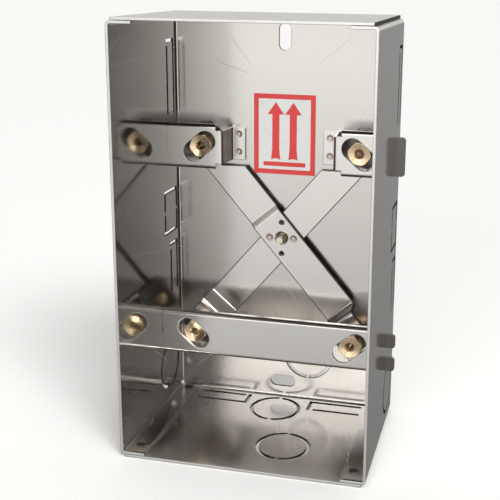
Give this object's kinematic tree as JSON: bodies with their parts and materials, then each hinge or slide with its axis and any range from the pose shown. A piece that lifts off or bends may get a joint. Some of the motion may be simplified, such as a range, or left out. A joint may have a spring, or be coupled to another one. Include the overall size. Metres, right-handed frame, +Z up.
{
  "type": "flush mounting box",
  "caption": "Open-fronted folded steel box for walling in, with knock-outs and a pivoting cross of brass standoffs that levels the front plate.",
  "frame": {"origin": "middle of the footprint, on the outer face of the bottom wall", "axes": "+Z up as installed, +Y from the open front to the back wall, +X to the right seen from the front"},
  "size_m": [0.1184, 0.077, 0.192],
  "materials": {
    "shell_steel": "bright mill-finished stainless sheet",
    "bracket_steel": "bright mill-finished stainless sheet",
    "arm_steel": "bright mill-finished stainless sheet",
    "stud_metal": "pale turned metal",
    "standoff_brass": "turned bright brass",
    "label_film": "pale film with a red printed sign"
  },
  "bodies": {
    "box": {"box_shell": "shell_steel", "upper_left_bracket": "bracket_steel", "upper_right_bracket": "bracket_steel", "lower_bar": "bracket_steel", "pivot_stud": "stud_metal", "orientation_label": "label_film"},
    "cross": {"cross_arm_front": "arm_steel", "cross_arm_rear": "arm_steel", "upper_left_standoff": "standoff_brass", "upper_right_standoff": "standoff_brass", "lower_left_standoff": "standoff_brass", "lower_right_standoff": "standoff_brass"}
  },
  "joints": [
    {"name": "cross_turn", "type": "hinge", "parent": "box", "child": "cross", "pos_m": [0, 0.0343, 0.0854], "axis": [0, -1, 0], "range_deg": [-3, 3]}
  ]
}
